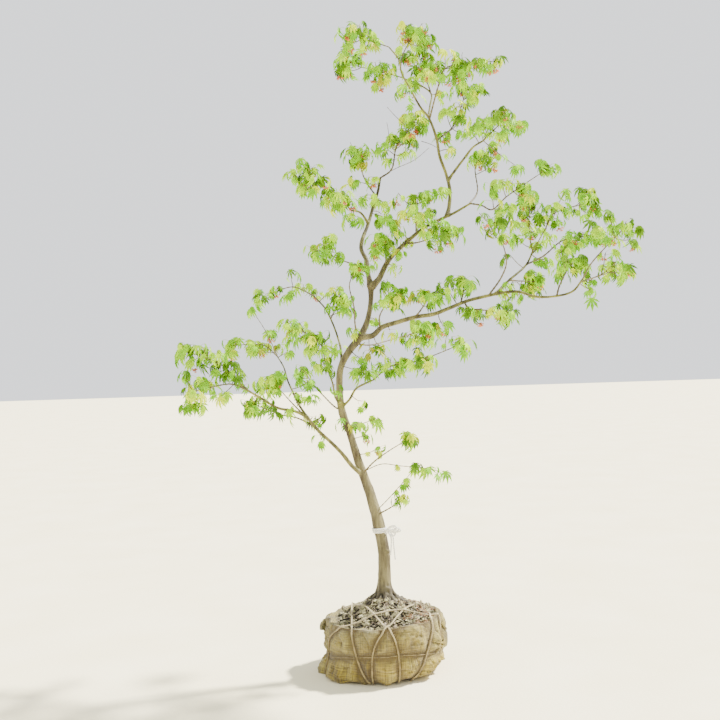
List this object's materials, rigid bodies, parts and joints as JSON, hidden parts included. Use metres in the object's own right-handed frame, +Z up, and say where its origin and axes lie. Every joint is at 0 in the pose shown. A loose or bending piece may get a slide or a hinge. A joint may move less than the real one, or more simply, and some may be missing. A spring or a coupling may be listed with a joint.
{
  "type": "japanese maple tree",
  "caption": "Young Japanese maple with a leaning forked trunk, slender boughs and fresh spring leaves, on a round root ball in roped burlap.",
  "frame": {"origin": "middle of the root ball's flat underside", "axes": "+Z up along the tree; +X to the right of a viewer who stands before it, towards its longest side bough; +Y away from that viewer"},
  "size_m": [1.2856, 0.5632, 1.9037],
  "materials": {
    "bark": "rough",
    "leaf": "satin",
    "burlap": "coarse weave",
    "soil": "crumbly",
    "jute": "twisted",
    "cotton": "soft"
  },
  "bodies": {
    "root": {"trunk": "bark", "left_leader": "bark", "right_leader": "bark", "top_stem": "bark", "arching_bough": "bark", "right_middle_bough": "bark", "upper_left_bough": "bark", "right_bough": "bark", "right_rising_bough": "bark", "low_right_bough": "bark", "left_bough": "bark", "left_rising_bough": "bark", "left_front_bough": "bark", "left_upright_bough": "bark", "leaves_top_left": "leaf", "leaves_top_right": "leaf", "leaves_arch_tip": "leaf", "leaves_upper_middle": "leaf", "leaves_upper_front": "leaf", "leaves_right_shoulder": "leaf", "leaves_right_middle": "leaf", "leaves_right_rise": "leaf", "leaves_right_reach": "leaf", "leaves_leader_tip": "leaf", "leaves_leader_left": "leaf", "leaves_upper_left": "leaf", "leaves_fork_front": "leaf", "leaves_fork_right": "leaf", "leaves_fork_inner": "leaf", "leaves_left_twig": "leaf", "leaves_rising_bough": "leaf", "leaves_right_slope": "leaf", "leaves_far_right_top": "leaf", "leaves_far_right_middle": "leaf", "leaves_right_tip": "leaf", "leaves_far_right_low": "leaf", "leaves_right_inner": "leaf", "leaves_under_rise": "leaf", "leaves_right_hanging": "leaf", "leaves_right_upright": "leaf", "leaves_right_short": "leaf", "leaves_beside_trunk": "leaf", "leaves_behind": "leaf", "leaves_low_right": "leaf", "leaves_low_shoot": "leaf", "leaves_lowest_shoot": "leaf", "leaves_upright_tip": "leaf", "leaves_upright_side": "leaf", "leaves_left_front": "leaf", "leaves_left_back": "leaf", "leaves_left_rising": "leaf", "leaves_left_tip": "leaf", "leaves_left_drooping": "leaf", "leaves_left_middle": "leaf", "leaves_left_low": "leaf", "leaves_bare_stem": "leaf", "root_ball_soil": "soil", "burlap_wrap": "burlap", "jute_lacing": "jute", "trunk_tie": "cotton"}
  },
  "joints": []
}
